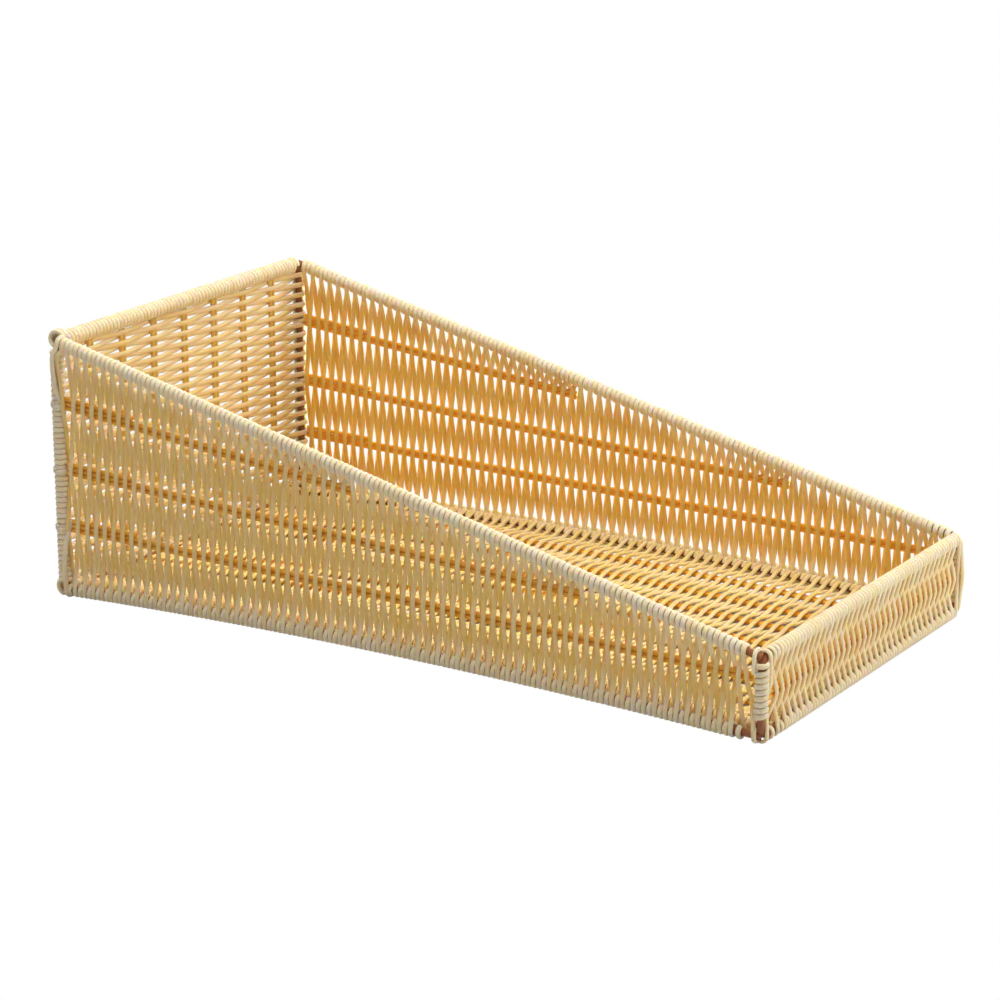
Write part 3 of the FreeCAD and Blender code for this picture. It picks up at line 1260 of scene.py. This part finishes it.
@dataclass
class BasePanel(WovenPanel):
    """The base: cross strands on lengthwise stakes, between the two side rods of the base."""

    name: str = "base_weave"
    replaced: tuple[str, ...] = ("base_strands",)
    rings: int = 3
    outward: Vector = field(default_factory=lambda: -Z_AXIS)
    seed: int = 41
    tint_middle: float = 0.4
    tint_ends: float = 0.4

    def routes(self, dice: Dice) -> list[Route]:
        """Routes of the base strands, from front to back.

        Args:
            dice: Source of small irregularities.

        Returns:
            One list of knots for each cane.
        """
        frame = self.frame
        low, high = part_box("base_strands")
        stops = self.level_stops(frame.base_side_x, frame.base_rod_radius, frame.base_stake_x)
        found = []
        for index, y in enumerate(self.spaced(low.y, high.y)):
            origin = Vector((0.0, self.strayed(y, dice), frame.rail(y) + frame.base_lift))
            plane = StrandPlane(origin, -Z_AXIS, X_AXIS, Y_AXIS)
            found.append(strand_route(plane, self.turns(stops, index), self.stray, dice))
        return found


@dataclass
class CornerStrands(WovenPanel):
    """Short strands that close the left back corner.

    One starts on the rim beside the wall's last strand and runs down the outside of the post, and
    one runs up from the bottom rail. Each run lists how far out, how far from its rod and how far
    aside the strand's points are, up to a tip that is tucked in.
    """

    name: str = "left_back_corner_strands"
    cane: Cane = Cane(3.3 * MM, 2.8 * MM)
    seed: int = 45
    rim_step: float = 3.4 * MM
    rim_run: tuple[Triple, ...] = (
        (2.4 * MM, 36.0 * MM, 0.8 * MM),
        (5.6 * MM, 26.0 * MM, 1.5 * MM),
        (6.0 * MM, 9.0 * MM, 2.3 * MM),
    )
    foot_step: float = 3.5 * MM
    foot_run: tuple[Triple, ...] = (
        (4.6 * MM, 14.0 * MM, 0.2 * MM),
        (4.2 * MM, 28.0 * MM, -0.8 * MM),
        (0.4 * MM, 46.0 * MM, -3.0 * MM),
    )

    def routes(self, dice: Dice) -> list[Route]:
        """Routes of the strand at the rim and of the one at the foot.

        Args:
            dice: Not used.

        Returns:
            One list of knots for each cane.
        """
        frame = self.frame
        low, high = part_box("left_wall_strands")
        last = self.spaced(low.y, high.y)[-1]
        reach = self.wrap_reach(frame.rod_radius)
        y = last + self.rim_step
        plane = wall_plane(frame, Side.LEFT, y)
        rim = Turn(frame.rim(y), reach, 1)
        down = [plane.at(out, rim.along - drop, aside) for out, drop, aside in self.rim_run]
        over = wrap_knots(plane, rim, 1, self.rim_run[-1][1])
        y = last + self.foot_step
        plane = wall_plane(frame, Side.LEFT, y)
        foot = Turn(frame.rail(y), reach, 1)
        up = [plane.at(out, foot.along + climb, aside) for out, climb, aside in self.foot_run]
        under = wrap_knots(plane, foot, -1, self.foot_run[0][1])
        return [
            eased(down + [over[0].point])[:-1] + over,
            under + eased([under[-1].point] + up)[1:],
        ]


@dataclass(frozen=True)
class RodPath:
    """The axis of a rod that is wound: a straight run that may end in a bend.

    The rod leaves start along heading for length, and then bends towards bend_side with
    bend_radius.
    """

    start: Vector
    heading: Vector
    length: float
    bend_side: Vector
    bend_radius: float

    def at(self, distance: float) -> tuple[Vector, Vector]:
        """The axis at a distance from the start.

        Args:
            distance: Along the rod.

        Returns:
            The point and the rod's heading there.
        """
        straight = min(distance, self.length)
        point = self.start + self.heading * straight
        angle = max(distance - self.length, 0.0) / self.bend_radius
        ahead = self.heading * (self.bend_radius * math.sin(angle))
        point = point + ahead + self.bend_side * (self.bend_radius * (1 - math.cos(angle)))
        return point, self.heading * math.cos(angle) + self.bend_side * math.sin(angle)


@dataclass
class Winding(CaneWork):
    """Cane wound tightly on a rod."""

    record_slot: str = "cane_winding"
    # A winding is pale all along, as a painted sheen of the top light on the rods
    tint_middle: float = 0.78
    tint_ends: float = 0.78

    def post(self, side: Side, y: float, top: float) -> RodPath:
        """The axis of a post at y, up to the bend at its top."""
        foot = Vector((side.value * self.frame.half_width, y, 0.0))
        return RodPath(foot, Z_AXIS, top, X_AXIS * -side.value, self.frame.rod_radius)

    def helix(self, path: RodPath, first: float, last: float, turns: float, reach: float) -> Route:
        """Knots of cane wound round a rod.

        Args:
            path: The rod's axis.
            first: Distance along the rod where the winding starts.
            last: Distance along the rod where it ends.
            turns: How many times it goes round.
            reach: From the rod's axis to the middle of the cane.

        Returns:
            The knots, four to a turn.
        """
        across = path.heading.cross(path.bend_side)
        steps = round(turns * QUARTERS)
        rate = (last - first) / (steps * QUARTER_TURN)
        pull = arc_handle(QUARTER_TURN)
        knots = []
        for i in range(steps + 1):
            angle = i * QUARTER_TURN
            axis_point, heading = path.at(first + rate * angle)
            out = heading.cross(across)
            around = across * math.cos(angle) + out * math.sin(angle)
            turning = out * math.cos(angle) - across * math.sin(angle)
            point = axis_point + around * reach
            tangent = (turning * reach + heading * rate) * pull
            knots.append(Knot(point, point - tangent, point + tangent))
        return knots


class Rail(Enum):
    """The two wound rails of the back loop."""

    RIM = "rim"
    BOTTOM = "bottom"


@dataclass
class RailWinding(Winding):
    """The winding of a back rail, from the bare far corner to the bend at the near one."""

    seed: int = 51
    rail: Rail = Rail.RIM
    cane: Cane = Cane(3.25 * MM, 3.0 * MM)
    sideways: Vector = field(default_factory=X_AXIS.copy)
    pitch: float = 3.42 * MM
    corner_radius: float = 6.0 * MM
    bare_end: float = 6.6 * MM
    bend_turn: float = math.radians(10)
    ring_turns: float = 2.0
    ring_step: float = 6.4 * MM
    ring_swell: float = 0.6 * MM
    ring_backs: Pair = (1.4 * MM, 2.8 * MM)
    ring_lift: float = 1.0 * MM

    def __post_init__(self) -> None:
        """Names the winding for its rail."""
        self.name = f"back_{self.rail.value}_winding"
        self.replaced = tuple(f"{self.name}_{i}" for i in range(1, RAIL_WINDINGS + 1))
        if self.rail is Rail.BOTTOM:
            self.seed += 1

    def routes(self, dice: Dice) -> list[Route]:
        """One long cane, wound from right to left into the bend, and two loose last rings.

        Args:
            dice: Not used.

        Returns:
            One list of knots for each cane.
        """
        frame = self.frame
        rim = self.rail is Rail.RIM
        z = frame.back_rim if rim else frame.back_rail
        right = frame.half_width - self.bare_end
        length = right + frame.half_width - self.corner_radius
        bend_side = -Z_AXIS if rim else Z_AXIS
        start = Vector((right, frame.back_y, z))
        path = RodPath(start, -X_AXIS, length, bend_side, self.corner_radius)
        total = length + self.corner_radius * self.bend_turn
        reach = self.wrap_reach(frame.rod_radius)
        back = frame.back_y + self.ring_backs[0 if rim else 1]
        corner = Vector((-frame.half_width + self.ring_step, back, z + self.ring_lift))
        end = RodPath(corner, -X_AXIS, self.ring_step, -Z_AXIS, self.corner_radius)
        return [
            self.helix(path, 0.0, total, total / self.pitch, reach),
            self.helix(end, 0.0, self.ring_step, self.ring_turns, reach + self.ring_swell),
        ]


@dataclass
class PostWinding(Winding):
    """The flat winding on a front post.

    On the left post it leaves the rod bare above and below, and on the right one it goes on down
    to the bend.
    """

    name: str = "front_{side}_post_binding"
    replaced: tuple[str, ...] = ("front_{side}_post_winding",)
    seed: int = 61
    cane: Cane = Cane(3.35 * MM, 1.9 * MM, Lie.UPRIGHT)
    twist: Twist = Twist.UPRIGHT
    sideways: Vector = field(default_factory=Z_AXIS.copy)
    turns: float = 8.0
    lift: Pair = (1.8 * MM, 3.2 * MM)
    more_turns: float = 2.0
    more_length: float = 6.7 * MM
    loop_turns: float = 1.0
    loop_climb: float = 1.2 * MM
    loop_gap: float = 1.8 * MM

    def routes(self, dice: Dice) -> list[Route]:
        """One cane wound up the post, and a single loop above it.

        Args:
            dice: Not used.

        Returns:
            One list of knots for each cane.
        """
        frame = self.frame
        path = self.post(self.side, frame.front_y, frame.front_rim)
        low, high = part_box(self.replaced[0])
        edge = self.cane.width / 2
        reach = self.wrap_reach(frame.rod_radius)
        first, last = low.z + edge + self.lift[0], high.z - edge + self.lift[1]
        loop = last + self.loop_gap
        turns = self.turns
        if self.side is Side.RIGHT:
            first, turns = first - self.more_length, turns + self.more_turns
        return [
            self.helix(path, first, last, turns, reach),
            self.helix(path, loop, loop + self.loop_climb, self.loop_turns, reach),
        ]


@dataclass
class StakeEnds(Winding):
    """The ends of a wall's stakes, looped round the back post."""

    name: str = "{side}_stake_end_loops"
    seed: int = 71
    cane: Cane = Cane(3.0 * MM, 3.0 * MM)
    sideways: Vector = field(default_factory=Z_AXIS.copy)
    loop_turns: float = 1.25
    climb: float = 2.2 * MM

    def routes(self, dice: Dice) -> list[Route]:
        """One short loop at the height of each stake.

        Args:
            dice: Not used.

        Returns:
            One list of knots for each cane.
        """
        frame = self.frame
        path = self.post(self.side, frame.back_y, frame.back_rim)
        reach = self.wrap_reach(frame.rod_radius)
        found = []
        for stake in frame.wall_stakes:
            first = stake.height(frame.back_y) - self.climb / 2
            found.append(self.helix(path, first, first + self.climb, self.loop_turns, reach))
        return found


@dataclass
class StakeSplices(CaneWork):
    """Spare ends of a wall's stakes, laid on top of them for a way from the back post."""

    name: str = "{side}_stake_splices"
    record_slot: str = "plastic_cane_stake"
    seed: int = 81
    cane: Cane = Cane(2.8 * MM, 2.8 * MM, fullness=1.0)
    sideways: Vector = field(default_factory=Z_AXIS.copy)
    length: float = 52.0 * MM

    def routes(self, dice: Dice) -> list[Route]:
        """One straight length on each stake.

        Args:
            dice: Not used.

        Returns:
            One list of knots for each cane.
        """
        lift = self.wrap_reach(self.frame.stake_half)
        x = self.side.value * self.frame.half_width
        found = []
        for stake in self.frame.wall_stakes:
            places = (stake.back_y - self.length, stake.back_y)
            found.append(eased([Vector((x, y, stake.height(y) + lift)) for y in places]))
        return found


@dataclass(frozen=True)
class Lamp:
    """A square soft lamp, by its place, its side and its power in watts."""

    name: str
    place: Triple
    size: float
    power: float

    def hang(self) -> None:
        """Hangs the lamp facing the middle of the basket, and keeps it out of reflections."""
        bpy.ops.object.select_all(action="DESELECT")
        bpy.ops.object.light_add(type="AREA", location=self.place)
        lamp = bpy.context.object
        lamp.name = self.name
        lamp.data.size = self.size
        lamp.data.energy = self.power
        lamp.visible_glossy = False
        low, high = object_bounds()
        towards = (low + high) / 2 - Vector(self.place)
        lamp.rotation_euler = towards.to_track_quat("-Z", "Y").to_euler()


@dataclass
class Studio:
    """The floor, the lamps, the sky and the camera."""

    floor_size: float = 14.0
    sky_light: float = 0.24
    lamps: tuple[Lamp, ...] = (
        Lamp("key_lamp", (0.9, -2.0, 1.0), 1.2, 24.0),
        Lamp("far_lamp", (1.75, 0.45, 0.24), 0.5, 60.0),
        Lamp("top_lamp", (0.0, 0.0, 1.7), 1.2, 24.0),
    )
    camera_place: Triple = (-1.6424, -1.0181, 0.6527)
    camera_azimuth: float = -58.101
    camera_elevation: float = 16.811
    lens: float = 118.0
    sensor: float = 36.0

    def build(self) -> None:
        """Sets up everything round the basket."""
        self.floor()
        self.sky()
        for lamp in self.lamps:
            lamp.hang()
        self.camera()
        bpy.context.scene.view_settings.view_transform = "Standard"

    def floor(self) -> None:
        """Lays the paper floor."""
        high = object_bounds()[1]
        bpy.ops.object.select_all(action="DESELECT")
        bpy.ops.mesh.primitive_plane_add(size=self.floor_size)
        floor = bpy.context.object
        floor.name = "studio_floor"
        floor.data.materials.append(FloorFinish((high.x, high.y)).material())
        floor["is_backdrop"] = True

    def sky(self) -> None:
        """Sets an even sky, white to the camera and in reflections."""
        world = bpy.data.worlds.new("studio_sky")
        world.use_nodes = True
        tree = world.node_tree
        tree.nodes.clear()
        strength = ranged(tree, seen(tree), (self.sky_light, 1.0))
        colour = {"Color": linear(WHITE)}
        light = add_node(tree, "ShaderNodeBackground", colour, {"Strength": strength})
        add_node(tree, "ShaderNodeOutputWorld", {}, {"Surface": light.outputs["Background"]})
        bpy.context.scene.world = world

    def camera(self) -> None:
        """Places the camera at the photograph's angle."""
        azimuth = math.radians(self.camera_azimuth)
        elevation = math.radians(self.camera_elevation)
        level = math.cos(elevation)
        back = Vector((math.sin(azimuth) * level, -math.cos(azimuth) * level, math.sin(elevation)))
        bpy.ops.object.camera_add(location=self.camera_place)
        camera = bpy.context.object
        camera.name = "photo_camera"
        camera.data.lens = self.lens
        camera.data.sensor_width = self.sensor
        camera.rotation_euler = (-back).to_track_quat("-Z", "Y").to_euler()
        bpy.context.scene.camera = camera


def dress_solids(
    nodes: dict[str, bpy.types.Object],
    rod: Material,
    stake: Material,
    back_stake: Material,
) -> None:
    """Gives the rods and stakes that stay in view their finishes.

    Args:
        nodes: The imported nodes, by name.
        rod: The finish of the steel rods.
        stake: The finish of the stakes.
        back_stake: The finish of the back panel's stakes.
    """
    for name, node in nodes.items():
        finish = rod
        if "stake" in name:
            finish = back_stake if name.startswith("back_panel") else stake
        node.data.materials.clear()
        node.data.materials.append(finish)


def main() -> None:
    """Builds the basket's looks in order."""
    logging.basicConfig(level=logging.INFO, format="%(name)s: %(message)s")
    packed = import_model()
    cane, stake = CaneFinish().material(), StakeFinish().material()
    dress_solids(packed["nodes"], RodFinish().material(), stake, BACK_STAKE_FINISH.material())
    frame = BasketFrame.read()
    works: list[CaneWork] = [SideWall(frame, cane, side=side) for side in Side]
    works += [FrontPanel(frame, cane), BackPanel(frame, cane), BasePanel(frame, cane)]
    works += [CornerStrands(frame, cane)]
    works += [RailWinding(frame, cane, rail=rail) for rail in Rail]
    works += [PostWinding(frame, cane, side=side) for side in Side]
    works += [StakeEnds(frame, cane, side=side) for side in Side]
    works += [StakeSplices(frame, stake, side=side) for side in Side]
    for work in works:
        work.build()
    Studio().build()


if __name__ == "__main__":
    main()
